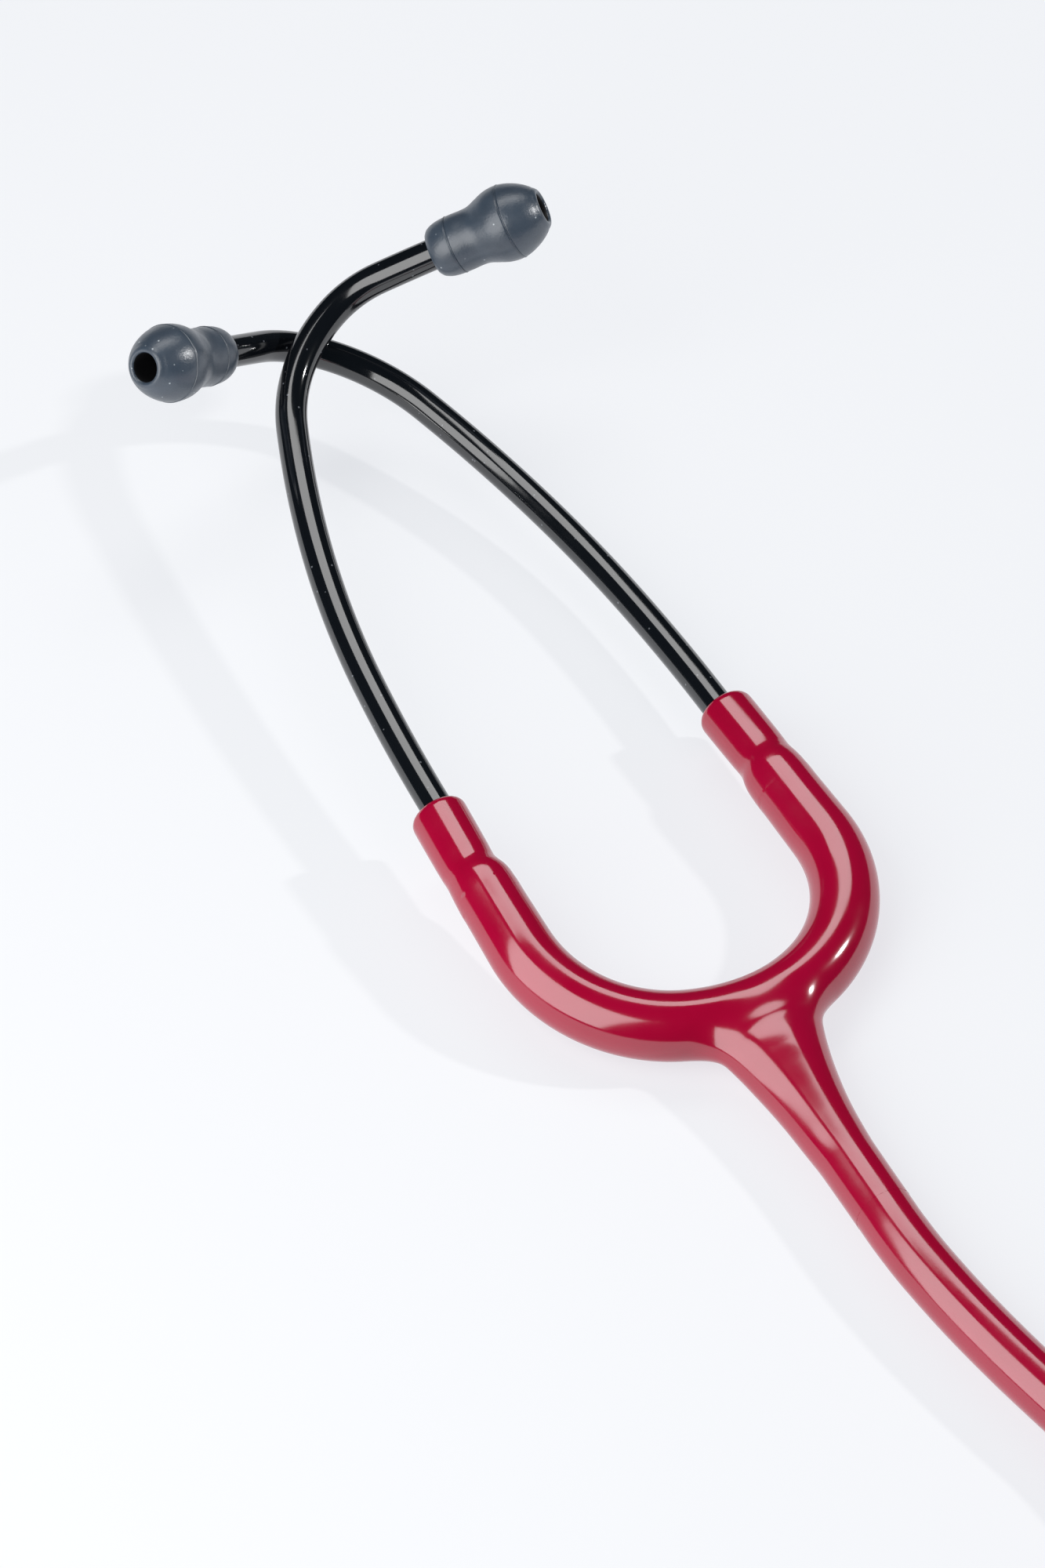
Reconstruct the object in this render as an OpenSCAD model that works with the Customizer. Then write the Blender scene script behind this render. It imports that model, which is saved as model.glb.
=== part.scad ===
// Binaural stethoscope: sprung headset with crossed ear tubes, moulded Y tubing
// and a two-sided chestpiece, lying flat. Millimetres, +Z up. +Y runs from the
// yoke to the ear tips. The origin is on the table, below the middle of the rigid parts.

/* [Ear tubes] */
// Outside diameter of each ear tube
ear_tube_d = 6; // [5:0.1:7]
// Wall of each ear tube
ear_tube_wall = 0.6; // [0.4:0.1:1]
// Half the distance between the two sleeve mouths
half_spread = 29.2; // [24:0.1:36]
// Height of the tube axis at the sleeve mouths
mouth_h = 10.6; // [8:0.1:16]
// Lean of the left arm above and the right arm below the headset plane, degrees
arm_lean = 2; // [0:0.1:4]
// Turn of each ear tube in its sleeve, degrees
tube_turn = 2.5; // [0:0.5:5]
// Length of ear tube held inside the sleeve
tube_in = 26; // [22:1:28]

/* [Ear tips] */
// Length of each soft ear tip
tip_len = 22.7; // [18:0.1:26]
// Radius of the sound hole in the ear tip
tip_hole_r = 2.6; // [1.5:0.1:3]

/* [Yoke] */
// Radius of the straight sleeve around the ear tube
sleeve_r = 5.3; // [5:0.1:7]
// Length of the sleeve from its mouth to the pinch
sleeve_len = 16.5; // [12:0.5:20]
// Radius of the moulding at the bottom of the U
yoke_r = 6.4; // [6:0.1:8]
// Radius of the moulding round the bends of the U
bend_r = 6.3; // [6:0.1:8]
// Radius of the single tube
tube_r = 5.4; // [5:0.1:7]
// Radius of the sound passage in the moulding
lumen_r = 2.4; // [1.5:0.1:3]

/* [Spring] */
// Thickness of the spring leaf
leaf_t = 0.6; // [0.4:0.1:1]
// Height of the spring leaf
leaf_h = 3; // [2:0.5:4]
// Distance from the passage centre to the spring leaf
leaf_off = 5.1; // [5:0.1:5.3]

/* [Chestpiece] */
// Radius of the adult side over its rim
adult_r = 22.2; // [18:0.1:25]
// Radius of the paediatric side over its rim
small_r = 16.8; // [13:0.1:19]
// Height of the stem axis above the table
stem_h = 12; // [10:0.5:16]
// Radius of the stem inside the chestpiece
stem_r = 4; // [3:0.1:5]
// Running clearance round shafts, on the radius
fit = 0.05; // [0.02:0.01:0.1]

/* [Hidden] */
$fn = 64;
origin_x = 28.363;          // middle of the rigid parts, across
origin_y = -47.05;         // middle of the rigid parts, along
tr = ear_tube_d / 2;
ti = tr - ear_tube_wall;
head_in = 1.2;              // inward heading of the sleeves, degrees
head_up = 1.5;              // upward heading of the sleeves, degrees
hinge_y = -60;              // line about which the arms lean
hinge_z = 6.4;
u_y = -62.9;                // bottom of the U, on the passage axis
u_z = 6.74;
u_turn = -4.4;              // turn of the U in its own plane
// the next lists are for the left half and the right half
u_a1 = [16, 23.4];          // angle and radius of the shallow bottom bend
u_r1 = [40.9, 31.6];
u_a2 = [70, 74.3];          // angle and radius of the side bend
u_r2 = [29.2, 27.6];
u_leg = [15.6, 16.9];       // straight leg from the side bend to the pinch
plane = [6.65, 2.31];       // rise of each half of the U, degrees
tab_x = [4.28, 3.6];        // reach of the clamp's tab towards the leaf
head_x = [5.17, 4.58];      // seat of the rivet heads
sleeve_off = 0.55;          // sleeve centre outside the tube axis, at the mouth
// ear tube bends after the sleeve mouth: roll, bend, length
bends = [[9, 4.5, 32], [19.5, 17, 58.5], [-5, 50, 25.5], [9, 32.5, 11], [0, 1.5, 11.5]];
clamp_lo = -25.2;           // clamp along the tube, measured from the mouth
clamp_hi = -19;
clamp_r = 3.55;
rivet_at = [-23.6, -20.8];
// half profile of the ear tip, radius and distance from its base
tip_profile = [[4.1, 0], [4.6, 0.35], [4.95, 0.9], [5.3, 1.7], [5.5, 2.8], [5.6, 4.2],
               [5.6, 6], [5.55, 7.6], [5.6, 8.8], [5.8, 9.7], [6.15, 10.6], [6.5, 11.5],
               [6.85, 12.4], [7.1, 13.3], [7.25, 14.3], [7.3, 15.1], [7.25, 16], [7.08, 16.9],
               [6.8, 17.8], [6.4, 18.8], [5.9, 19.8], [5.25, 20.8], [4.6, 21.6], [4, 22.2],
               [3.5, 22.6], [3.2, 22.7]];
// route of the single tube from the moulding to the chestpiece
route = [[0, -112, 5.4], [0, -118, 5.4], [0.41, -125.99, 5.4], [1.81, -138.33, 5.4], [3.82, -150.59, 5.4],
         [6.31, -162.76, 5.4], [9.01, -174.88, 5.4], [10.02, -187.25, 5.4], [8.86, -199.6, 5.4], [5.72, -211.61, 5.4],
         [2.93, -223.71, 5.4], [1.34, -236.03, 5.4], [1, -248.44, 5.4], [3.29, -260.61, 5.4], [8.74, -271.73, 5.4],
         [16.96, -281, 5.4], [27.35, -287.74, 5.4], [39.16, -291.45, 5.4], [51.54, -291.89, 5.4], [63.59, -289, 5.4],
         [74.42, -283.01, 5.4], [83.27, -274.34, 5.4], [89.48, -263.62, 5.4], [92.61, -251.64, 5.48], [92.43, -239.26, 6.6],
         [90.29, -227.02, 8.49], [88.13, -214.78, 10.46], [85.97, -202.55, 11.79], [83.81, -190.32, 12]];
sides = 12;
cp = [76, -146];            // chestpiece axis on the table
cp_turn = 100;              // heading of the stem, tube end to chestpiece

// ---------------------------------------------------------------- placing
module place() { translate([-origin_x, -origin_y, 0]) children(); }

// tube frame at the sleeve mouth: +Z along the tube, +X towards the other arm
module mouth(side) {
    mirror([side > 0 ? 1 : 0, 0, 0])
        translate([0, hinge_y, hinge_z]) rotate([side > 0 ? -arm_lean : arm_lean, 0, 0])
            translate([-half_spread, -hinge_y, mouth_h - hinge_z])
                rotate([0, 0, -head_in]) rotate([head_up, 0, 0]) rotate([-90, 0, 0])
                    children();
}

// frame of one half of the U: origin at the bottom of the U, +X towards the arm
module half_u(side) {
    translate([0, u_y, u_z]) rotate([0, 0, u_turn]) rotate([plane[half(side)], 0, 0])
        mirror([side > 0 ? 0 : 1, 0, 0]) children();
}
function half(side) = side > 0 ? 1 : 0;

// arc of a ring section starting at the origin along +Z and bending to +X
module arc(ro, ri, bend, len) {
    radius = len * 180 / (PI * bend);
    translate([radius, 0, 0]) rotate([90, 0, 180])
        rotate_extrude(angle = bend * (1 - 0.05 / len), $fn = 96) translate([radius, 0]) difference() {
            circle(r = ro);
            circle(r = ri);
        }
}

// moves its children to the end of the first n bends
module after(n, i = 0) {
    if (i >= n) children();
    else {
        radius = bends[i][2] * 180 / (PI * bends[i][1]);
        rotate([0, 0, -bends[i][0]])
            translate([radius * (1 - cos(bends[i][1])), 0, radius * sin(bends[i][1])])
                rotate([0, bends[i][1], 0]) after(n, i + 1) children();
    }
}

module ring(ro, ri, h) {
    difference() {
        cylinder(r = ro, h = h);
        translate([0, 0, -1]) cylinder(r = ri, h = h + 2);
    }
}

// ---------------------------------------------------------------- headset
module ear_tube(side) {
    place() mouth(side) rotate([0, 0, side > 0 ? -tube_turn : tube_turn]) {
        translate([0, 0, -tube_in]) ring(tr, ti, tube_in - 0.05);
        for (i = [0 : 4]) after(i) rotate([0, 0, -bends[i][0]]) arc(tr, ti, bends[i][1], bends[i][2]);
        for (i = [0 : 5]) after(i) translate([0, 0, -0.4]) ring(tr + 0.02, ti - 0.02, 0.8);
        after(5) ring(tr, ti, 10);
    }
}

module tip_frame(side) {
    place() mouth(side) rotate([0, 0, side > 0 ? -tube_turn : tube_turn]) after(5) children();
}

module tip_plug(side) {
    tip_frame(side) difference() {
        union() {
            translate([0, 0, 2]) cylinder(r = ti - fit, h = 8.5);
            translate([0, 0, 10.02]) cylinder(r = tr, h = 2.4);
            translate([0, 0, 12.42]) cylinder(r1 = tr, r2 = tr - 0.8, h = 1.2);
        }
        translate([0, 0, 1]) cylinder(r = 1.5, h = 14);
    }
}

module ear_tip(side) {
    tip_frame(side) difference() {
        rotate_extrude() polygon(concat([[0, 0]], tip_profile, [[0, 22.7]]));
        translate([0, 0, -1]) cylinder(r = tr + fit, h = 15);
        translate([0, 0, 13.5]) cylinder(r = tip_hole_r, h = 12);
        translate([0, 0, tip_len - 0.6]) cylinder(r1 = tip_hole_r, r2 = tip_hole_r + 0.6, h = 0.62);
    }
}

module spring_clamp(side) {
    place() mouth(side) difference() {
        union() {
            translate([0, 0, clamp_lo]) cylinder(r = clamp_r, h = clamp_hi - clamp_lo);
            translate([2, -1.8, clamp_lo]) cube([tab_x[half(side)] - 2, 3.6, clamp_hi - clamp_lo]);
        }
        translate([0, 0, clamp_lo - 1]) cylinder(r = tr + 0.03, h = 12);
        for (z = rivet_at) translate([tr, 0, z]) rotate([0, 90, 0]) cylinder(r = 0.55, h = 3);
    }
}

module clamp_rivets(side) {
    place() mouth(side) for (z = rivet_at) translate([0, 0, z]) {
        translate([tr + 0.1, 0, 0]) rotate([0, 90, 0]) cylinder(r = 0.5, h = head_x[half(side)] - tr);
        translate([head_x[half(side)], 0, 0]) rotate([0, 90, 0]) cylinder(r = 0.9, h = 0.3);
    }
}

// one half of the leaf: t is its thickness, h its height, ext its extra length
module leaf_half(i, t, h, ext) {
    translate([0, u_r1[i], 0]) rotate([0, 0, -89.6])
        rotate_extrude(angle = u_a1[i] - 0.5, $fn = 128)
            translate([u_r1[i] - leaf_off - t / 2, -h / 2]) square([t, h]);
    translate([u_r1[i] * sin(u_a1[i]), u_r1[i] * (1 - cos(u_a1[i])), 0])
        rotate([0, 0, u_a1[i]]) translate([0, u_r2[i], 0]) {
            rotate([0, 0, -90]) rotate_extrude(angle = u_a2[i] - 0.2, $fn = 128)
                translate([u_r2[i] - leaf_off - t / 2, -h / 2]) square([t, h]);
            // joining block between the two bends
            translate([0, leaf_off - u_r2[i], 0]) cube([1.2, t + 0.06, h + 0.04], center = true);
        }
    leg_frame(i) {
        translate([-leaf_off - t / 2, 0, -h / 2]) cube([t, u_leg[i] - 2.4 + ext, h]);
        translate([-leaf_off, 0, 0]) cube([t + 0.06, 1.2, h + 0.04], center = true);
    }
}

// middle of the leaf, across the two halves
module leaf_mid(t, h, w) {
    translate([0, u_y, u_z]) rotate([0, 0, u_turn]) rotate([(plane[0] + plane[1]) / 2, 0, 0])
        translate([0, leaf_off - 0.02, 0]) cube([w, t, h], center = true);
}

// start of the straight leg, +Y along it, +X outwards
module leg_frame(i) {
    translate([u_r1[i] * sin(u_a1[i]), u_r1[i] * (1 - cos(u_a1[i])), 0]) rotate([0, 0, u_a1[i]])
        translate([u_r2[i] * sin(u_a2[i]), u_r2[i] * (1 - cos(u_a2[i])), 0]) rotate([0, 0, u_a2[i] - 90])
            children();
}

module spring_leaf() {
    color("silver") place() difference() {
        union() {
            for (s = [-1, 1]) half_u(s) leaf_half(half(s), leaf_t, leaf_h, 0);
            leaf_mid(leaf_t + 0.12, leaf_h + 0.6, 1.2);
        }
        for (s = [-1, 1]) mouth(s) for (z = rivet_at)
            translate([tr, 0, z]) rotate([0, 90, 0]) cylinder(r = 0.55, h = 3);
    }
}

// sleeve with a rounded mouth, running back into the leg
module sleeve() {
    translate([-sleeve_off, 0, 0]) rotate([0, 0.8, 0])
        rotate_extrude() polygon([[0, -sleeve_len - 1], [5.2, -sleeve_len - 1], [5.2, -sleeve_len + 0.8],
            [sleeve_r, -sleeve_len + 2.2], [sleeve_r, -1.1], [5.1, -0.4], [4.7, 0], [0, 0]]);
}

// the two bends of one half of the U: section radii, and how far the second runs over
module u_bends(i, r1, r2, over) {
    translate([0, u_r1[i], 0]) rotate([0, 0, -89.6])
        rotate_extrude(angle = u_a1[i] - 0.4, $fn = 128) translate([u_r1[i], 0]) circle(r = r1);
    translate([u_r1[i] * sin(u_a1[i]), u_r1[i] * (1 - cos(u_a1[i])), 0])
        rotate([0, 0, u_a1[i]]) translate([0, u_r2[i], 0]) rotate([0, 0, -90 - over])
            rotate_extrude(angle = u_a2[i] + over, $fn = 128) translate([u_r2[i], 0]) circle(r = r2);
}

module yoke_tubing() {
    color("crimson") place() difference() {
        union() {
            for (s = [-1, 1]) {
                half_u(s) {
                    u_bends(half(s), yoke_r, bend_r, 1);
                    leg_frame(half(s)) rotate([-90, 0, 0]) rotate_extrude() polygon([[0, -0.4], [bend_r - 0.04, -0.4],
                        [6.15, u_leg[half(s)] - 5], [5.95, u_leg[half(s)] - 1.8], [5.35, u_leg[half(s)] + 0.1], [0, u_leg[half(s)] + 0.1]]);
                }
                mouth(s) sleeve();
            }
            translate([0, u_y, u_z]) rotate([0, 0, u_turn]) translate([-0.9, 0, 0])
                rotate([0, 90, 0]) cylinder(r = yoke_r + 0.04, h = 1.8);
            // web between the U and the single tube
            hull() {
                for (x = [-5.2, 5.2]) translate([x, -67.7, 6.3]) sphere(r = 6.1, $fn = 32);
                for (x = [-1.8, 1.8]) translate([x, -80, 6]) sphere(r = 5.8, $fn = 32);
            }
            hull() {
                for (x = [-1.7, 1.7]) translate([x, -79, 6]) sphere(r = 5.82, $fn = 32);
                translate([0, -93, 5.5]) sphere(r = 5.45, $fn = 32);
            }
            translate([0, -112, tube_r]) rotate([-90, 0, 0]) cylinder(r = tube_r, h = 20);
        }
        // sound passages, spring pocket and tube sockets
        for (s = [-1, 1]) {
            half_u(s) {
                u_bends(half(s), lumen_r, lumen_r - 0.05, 1);
                leg_frame(half(s)) translate([0, -0.4, 0]) rotate([-90, 0, 0]) cylinder(r = lumen_r - 0.1, h = u_leg[half(s)] - 8.2);
                leaf_half(half(s), leaf_t + 0.1, leaf_h + 0.3, 0.2);
            }
            mouth(s) {
                translate([0, 0, -tube_in - 0.3]) cylinder(r = tr + fit, h = tube_in + 2);
                translate([0, 0, clamp_lo - 0.3]) cylinder(r = clamp_r + 0.1, h = clamp_hi - clamp_lo + 0.6);
                translate([2, -1.9, clamp_lo - 0.2]) cube([head_x[half(s)] - 2.1, 3.8, clamp_hi - clamp_lo + 0.4]);
                for (z = rivet_at) translate([tr, 0, z]) rotate([0, 90, 0]) cylinder(r = 1, h = head_x[half(s)] + 0.37 - tr);
            }
        }
        leaf_mid(leaf_t + 0.3, leaf_h + 1, 1.6);
        translate([0, u_y, u_z]) sphere(r = lumen_r + 0.3, $fn = 48);
        translate([0, -113, tube_r]) rotate([-88.5, 0, 0]) cylinder(r = lumen_r, h = 50.1);
    }
}

// ---------------------------------------------------------------- single tube
function dirs(i) = let (n = len(route), a = route[max(0, i - 1)], b = route[min(n - 1, i + 1)], d = b - a) d / norm(d);
function flat(i) = let (d = dirs(i), s = cross([0, 0, 1], d)) s / norm(s);
function section(i) = let (d = dirs(i), s = flat(i), u = cross(d, s))
    [for (k = [0 : sides - 1]) route[i] + tube_r * (cos(360 * k / sides) * s + sin(360 * k / sides) * u)];

module main_tube() {
    n = len(route);
    color("crimson") place() polyhedron(
        points = [for (i = [0 : n - 1]) each section(i)],
        faces = concat(
            [[for (k = [0 : sides - 1]) k]],
            [for (i = [0 : n - 2]) for (k = [0 : sides - 1])
                [i * sides + k, (i + 1) * sides + k, (i + 1) * sides + (k + 1) % sides, i * sides + (k + 1) % sides]],
            [[for (k = [sides - 1 : -1 : 0]) (n - 1) * sides + k]]));
}

// ---------------------------------------------------------------- chestpiece
// chestpiece frame: +Z is the axis of both cups, the stem lies along -X
module chest() { place() translate([cp[0], cp[1], 0]) rotate([0, 0, cp_turn]) children(); }
// stem frame: +Z along the stem, away from the chestpiece
module stem_axis() { chest() translate([0, 0, stem_h]) rotate([0, -90, 0]) children(); }

module chestpiece_stem() {
    color("gainsboro") stem_axis() difference() {
        rotate_extrude() polygon([[0, -4.4], [stem_r - 0.4, -4.4], [stem_r, -4],
            [stem_r, 4.5], [3.2, 4.5], [3.2, 5.5], [stem_r, 5.5],
            [stem_r, 9.5], [3.2, 9.5], [3.2, 10.5], [stem_r, 10.5],
            [stem_r, 14.4], [3.4, 14.4], [3.4, 15.6], [stem_r, 15.6],
            [stem_r, 17.5], [5, 17.5], [5.3, 17.9], [5.3, 20.6], [5, 21], [4.4, 21.6],
            [4.1, 23], [4.1, 38.5], [4.6, 40.2], [5.2, 41.4], [5.4, 42], [5.4, 45],
            [2.3, 45], [2.3, 47], [2.8, 47.2], [2.3, 50], [2.3, 51], [2.8, 51.2], [2.3, 54],
            [2.3, 55], [2.8, 55.2], [2.2, 58], [0, 58]]);
        translate([0, 0, -2]) cylinder(r = 1.5, h = 61);
        rotate([0, -90, 0]) cylinder(r = 1.5, h = 6);
        for (a = [90, -90]) rotate([0, 0, a]) translate([4.75, 0, 0]) sphere(r = 1.25, $fn = 48);
    }
}

module stem_orings() {
    color("dimgray") stem_axis() for (z = [5, 10]) translate([0, 0, z])
        rotate_extrude() translate([3.62, 0]) circle(r = 0.4, $fn = 24);
}

module retaining_ring() {
    color("gray") stem_axis() translate([0, 0, 14.5]) difference() {
        cylinder(r = 5, h = 1);
        translate([0, 0, -1]) cylinder(r = 3.45, h = 3);
        translate([2, -0.8, -1]) cube([4, 1.6, 3]);
    }
}

module chestpiece_body() {
    color("lightgray") difference() {
        union() {
            chest() rotate_extrude(angle = 360, $fn = 128) polygon([[0, 0.95], [20.6, 0.95], [20.6, 3.4], [19.4, 3.9], [18.6, 5.2],
                [15, 6.6], [11.2, 8], [9.2, 9.8], [8.6, 12], [9, 14.6], [10.4, 16.6], [12.8, 18.1],
                [14.2, 18.9], [14.4, 19.4], [15.2, 19.8], [15.2, 21.9], [0, 21.9]]);
            stem_axis() rotate_extrude() polygon([[0, 2], [6.6, 2], [6.6, 15.4], [6.2, 16], [0, 16]]);
        }
        // sound chambers
        chest() rotate_extrude(angle = 360, $fn = 128) polygon([[0, 0], [18.8, 0], [18.8, 1.5], [2.6, 3.4], [0, 3.4]]);
        chest() rotate_extrude(angle = 360, $fn = 128) polygon([[0, 23], [13.6, 23], [13.6, 21.3], [2.4, 19.8], [0, 19.8]]);
        chest() translate([0, 0, 3]) cylinder(r = 1.5, h = 18);
        // stem bore, clip seat and detent hole
        stem_axis() translate([0, 0, -4.6]) cylinder(r = stem_r + fit, h = 22);
        stem_axis() translate([0, 0, 14.35]) cylinder(r = 5.1, h = 3);
        stem_axis() rotate([0, 0, 90]) translate([3, 0, 0]) rotate([0, 90, 0]) cylinder(r = 1.3, h = 8);
    }
}

module detent_ball() {
    color("gray") stem_axis() rotate([0, 0, 90]) translate([4.75, 0, 0]) sphere(r = 1.2, $fn = 48);
}

module detent_spring() {
    color("gray") stem_axis() rotate([0, 0, 90]) for (i = [0 : 2])
        translate([6.15 + 0.42 * i, 0, 0]) rotate([0, 90, 0])
            rotate_extrude() translate([0.95, 0]) circle(r = 0.2, $fn = 48);
}

module detent_screw() {
    color("dimgray") stem_axis() rotate([0, 0, 90]) translate([7.25, 0, 0]) rotate([0, 90, 0]) difference() {
        cylinder(r = 1.25, h = 1.1);
        translate([0, 0, 0.5]) cylinder(r = 0.65, h = 1, $fn = 6);
    }
}

module adult_diaphragm() {
    color("ivory") chest() rotate_extrude(angle = 360, $fn = 128) polygon([[0, 0.1], [18.2, 0.1], [18.6, 0.53],
        [20.5, 0.53], [20.5, 0.93], [18.3, 0.93], [17.9, 0.5], [0, 0.5]]);
}

module adult_rim() {
    color("dimgray") chest() rotate_extrude(angle = 360, $fn = 128) polygon([[19, 0], [adult_r - 0.5, 0], [adult_r, 0.5],
        [adult_r, 3.8], [adult_r - 0.6, 4.4], [19.7, 4.4], [19.7, 3.95], [20.7, 3.5], [20.7, 0.5], [19, 0.5]]);
}

module pediatric_diaphragm() {
    color("ivory") chest() rotate_extrude(angle = 360, $fn = 128) polygon([[0, 22.35], [12.7, 22.35], [13.1, 21.93],
        [15.1, 21.93], [15.1, 22.33], [13.4, 22.33], [13, 22.75], [0, 22.75]]);
}

module pediatric_rim() {
    color("dimgray") chest() rotate_extrude(angle = 360, $fn = 128) polygon([[13.8, 22.85], [small_r - 0.5, 22.85], [small_r, 22.35],
        [small_r, 19.1], [small_r - 0.5, 18.6], [14.6, 18.6], [14.6, 19.3], [15.3, 19.75], [15.3, 22.36], [13.8, 22.36]]);
}

module left_ear_tip() { color("slategray") ear_tip(-1); }
module right_ear_tip() { color("slategray") ear_tip(1); }
module left_tip_plug() { color("gray") tip_plug(-1); }
module right_tip_plug() { color("gray") tip_plug(1); }
module left_ear_tube() { color("black") ear_tube(-1); }
module right_ear_tube() { color("black") ear_tube(1); }
module left_spring_clamp() { color("silver") spring_clamp(-1); }
module right_spring_clamp() { color("silver") spring_clamp(1); }
module left_clamp_rivets() { color("gray") clamp_rivets(-1); }
module right_clamp_rivets() { color("gray") clamp_rivets(1); }

left_ear_tip();
right_ear_tip();
left_tip_plug();
right_tip_plug();
left_ear_tube();
right_ear_tube();
left_spring_clamp();
right_spring_clamp();
left_clamp_rivets();
right_clamp_rivets();
spring_leaf();
yoke_tubing();
main_tube();
chestpiece_stem();
stem_orings();
retaining_ring();
chestpiece_body();
detent_ball();
detent_spring();
detent_screw();
adult_diaphragm();
adult_rim();
pediatric_diaphragm();
pediatric_rim();
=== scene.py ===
import math

import bmesh
import bpy
import numpy as np
from mathutils import Matrix, Vector


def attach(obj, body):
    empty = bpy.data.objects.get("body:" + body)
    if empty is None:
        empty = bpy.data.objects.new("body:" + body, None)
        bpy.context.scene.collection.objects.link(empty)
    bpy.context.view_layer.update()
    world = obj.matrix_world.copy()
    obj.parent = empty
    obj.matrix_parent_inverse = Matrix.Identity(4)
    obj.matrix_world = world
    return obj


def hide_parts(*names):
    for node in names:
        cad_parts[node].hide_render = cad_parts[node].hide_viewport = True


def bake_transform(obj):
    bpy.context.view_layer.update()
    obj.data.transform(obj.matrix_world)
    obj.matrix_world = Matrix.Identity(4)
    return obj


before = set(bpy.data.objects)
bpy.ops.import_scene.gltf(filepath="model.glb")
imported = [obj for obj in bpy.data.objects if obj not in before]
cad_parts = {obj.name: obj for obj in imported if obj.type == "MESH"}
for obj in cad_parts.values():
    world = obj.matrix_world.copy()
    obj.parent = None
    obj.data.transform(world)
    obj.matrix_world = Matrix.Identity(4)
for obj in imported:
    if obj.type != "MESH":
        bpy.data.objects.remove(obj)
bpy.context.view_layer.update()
scene = bpy.context.scene
# ---- numbers shared with the CAD source, millimetres
ORIGIN = np.array([28.363, -47.05, 0.0])
HALF, MOUTH_H, LEAN, TURN, HEAD_IN, HEAD_UP = 29.2, 10.6, 2.0, 2.5, 1.2, 1.5
HINGE_Y, HINGE_Z = -60.0, 6.4
U_Y, U_Z, U_TURN = -62.9, 6.74, -4.4
# left half, right half: angle and radius of the two bends, leg, rise
HALVES = {-1: (16.0, 40.9, 70.0, 29.2, 15.6, 6.65), 1: (23.4, 31.6, 74.3, 27.6, 16.9, 2.31)}
BENDS = [(9, 4.5, 32), (19.5, 17, 58.5), (-5, 50, 25.5), (9, 32.5, 11), (0, 1.5, 11.5)]


def rot(axis, deg):
    a = math.radians(deg)
    c, s = math.cos(a), math.sin(a)
    m = np.eye(4)
    i, j = {"x": (1, 2), "y": (2, 0), "z": (0, 1)}[axis]
    m[i, i], m[i, j], m[j, i], m[j, j] = c, -s, s, c
    return m


def move(x, y, z):
    m = np.eye(4)
    m[:3, 3] = (x, y, z)
    return m


def mouth(side):
    """Tube frame at a sleeve's mouth, in headset coordinates."""
    m = np.diag([-1.0, 1, 1, 1]) if side > 0 else np.eye(4)
    return (m @ move(0, HINGE_Y, HINGE_Z) @ rot("x", -LEAN if side > 0 else LEAN)
            @ move(-HALF, -HINGE_Y, MOUTH_H - HINGE_Z) @ rot("z", -HEAD_IN) @ rot("x", HEAD_UP) @ rot("x", -90))


def turned(side):
    return mouth(side) @ rot("z", -TURN if side > 0 else TURN)


def after(m, n, part=1.0):
    """The frame at the end of the first n bends, the last one only in part."""
    for i, (roll, bend, length) in enumerate(BENDS[:n]):
        f = part if i == n - 1 else 1.0
        radius = length / math.radians(bend)
        b = math.radians(bend * f)
        m = m @ rot("z", -roll) @ move(radius * (1 - math.cos(b)), 0, radius * math.sin(b)) @ rot("y", bend * f)
    return m


def half_u(side):
    m = np.eye(4) if side > 0 else np.diag([-1.0, 1, 1, 1])
    return move(0, U_Y, U_Z) @ rot("z", U_TURN) @ rot("x", HALVES[side][5]) @ m


def apply(m, p):
    return p @ m[:3, :3].T + m[:3, 3]


def inverse(m):
    return np.linalg.inv(m)


def smin(a, b, k):
    h = np.clip(0.5 + 0.5 * (b - a) / k, 0, 1)
    return b * (1 - h) + a * h - k * h * (1 - h)


def smax(a, b, k):
    return -smin(-a, -b, k)


def bends_of(side):
    """Lengths of the two bends, their angles, the second one's centre, the leg's start and direction."""
    a1, r1, a2, r2, leg, _ = HALVES[side]
    a1, a12 = math.radians(a1), math.radians(a1 + a2)
    c2 = np.array([(r1 - r2) * math.sin(a1), r1 - (r1 - r2) * math.cos(a1)])
    s3 = c2 + r2 * np.array([math.sin(a12), -math.cos(a12)])
    return r1 * a1, r2 * (a12 - a1), a1, a12, c2, s3, np.array([math.cos(a12), math.sin(a12)]), r1, r2, leg


def centre(side, s):
    """Points of the U's centreline at lengths s from its middle, headset coordinates."""
    l1, l2, a1, a12, c2, s3, d3, r1, r2, leg = bends_of(side)
    s = np.asarray(s, float)
    out = np.zeros((len(s), 3))
    a = np.clip(s, 0, l1) / r1
    b = a1 + np.clip(s - l1, 0, l2) / r2
    t = np.clip(s - l1 - l2, 0, None)
    out[:, 0] = np.where(s <= l1, r1 * np.sin(a), np.where(s <= l1 + l2, c2[0] + r2 * np.sin(b), s3[0] + d3[0] * t))
    out[:, 1] = np.where(s <= l1, r1 * (1 - np.cos(a)), np.where(s <= l1 + l2, c2[1] - r2 * np.cos(b), s3[1] + d3[1] * t))
    return apply(half_u(side), out)


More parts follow.
